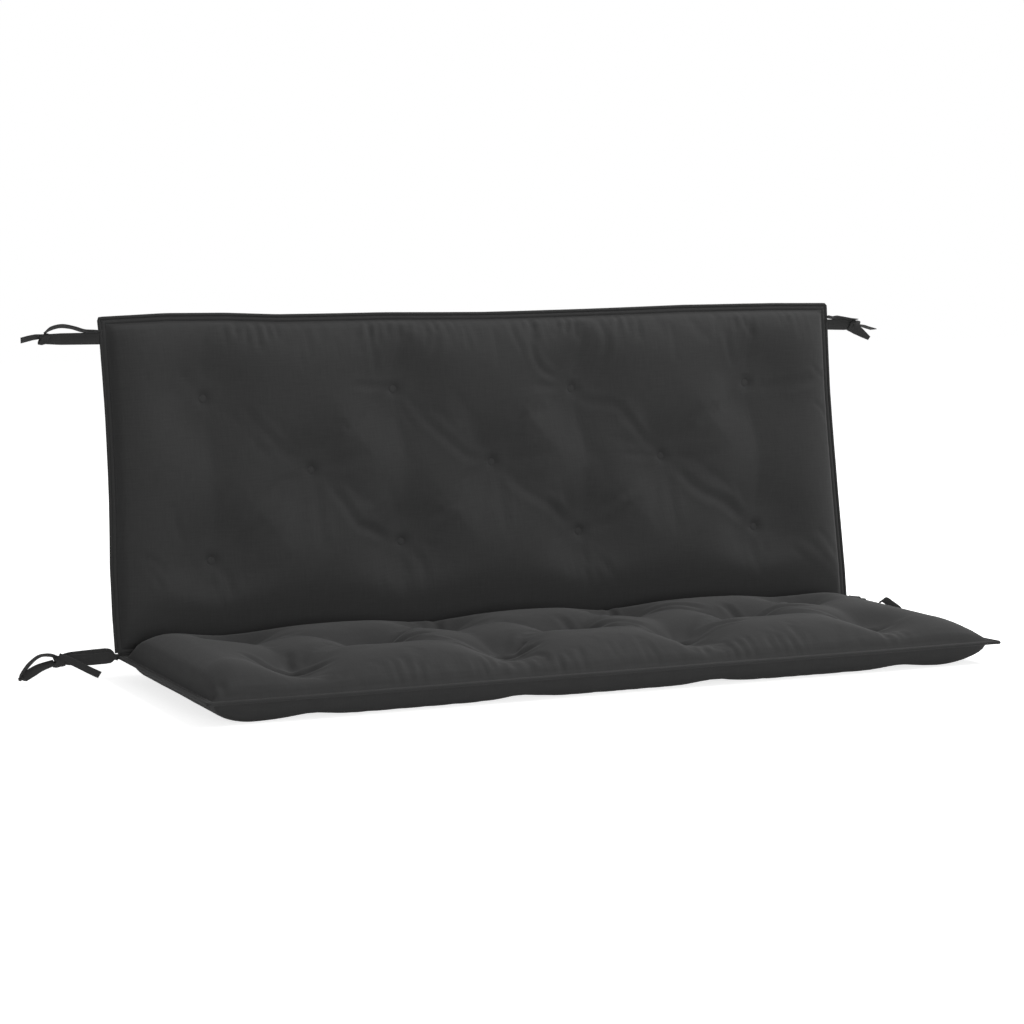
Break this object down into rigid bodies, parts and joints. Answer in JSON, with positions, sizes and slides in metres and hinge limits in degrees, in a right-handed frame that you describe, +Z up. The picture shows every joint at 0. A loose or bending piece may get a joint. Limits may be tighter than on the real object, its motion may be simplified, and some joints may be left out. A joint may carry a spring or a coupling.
{
  "type": "porch swing seat",
  "caption": "Tufted seat cushion and back cushion for a swing bench, sewn together along a piped fold line, with covered buttons and tie tapes at the corners.",
  "frame": {"origin": "on the ground under the middle of the part's box, with the back at its rest angle", "axes": "+X along the fold line to the right as seen from the front, -Y to the front, +Z up"},
  "size_m": [1.4871, 0.5184, 0.5119],
  "materials": {
    "cover_cloth": "woven, matt",
    "edge_cloth": "woven, matt",
    "button_cloth": "woven, matt",
    "tie_tape": "woven, folded and stitched",
    "fibre_filling": "loose fibre",
    "tuft_twine": "twisted"
  },
  "bodies": {
    "seat": {"seat_top_panel": "cover_cloth", "seat_bottom_panel": "cover_cloth", "seat_filling": "fibre_filling", "seat_piping": "edge_cloth", "seat_top_buttons": "button_cloth", "seat_bottom_buttons": "button_cloth", "seat_tuft_twines": "tuft_twine", "hinge_piping": "edge_cloth", "lower_left_tie": "tie_tape", "lower_left_tie_loop": "tie_tape", "lower_right_tie": "tie_tape", "lower_right_tie_loop": "tie_tape"},
    "back": {"back_front_panel": "cover_cloth", "back_rear_panel": "cover_cloth", "back_filling": "fibre_filling", "back_piping": "edge_cloth", "back_front_buttons": "button_cloth", "back_rear_buttons": "button_cloth", "back_tuft_twines": "tuft_twine", "hinge_strip": "edge_cloth", "upper_left_tie": "tie_tape", "upper_left_tie_loop": "tie_tape", "upper_right_tie": "tie_tape", "upper_right_tie_loop": "tie_tape"}
  },
  "joints": [
    {"name": "fold_hinge", "type": "hinge", "parent": "seat", "child": "back", "pos_m": [0, 0.17077, 0.0315], "axis": [1, 0, 0], "range_deg": [-82, 48]}
  ]
}
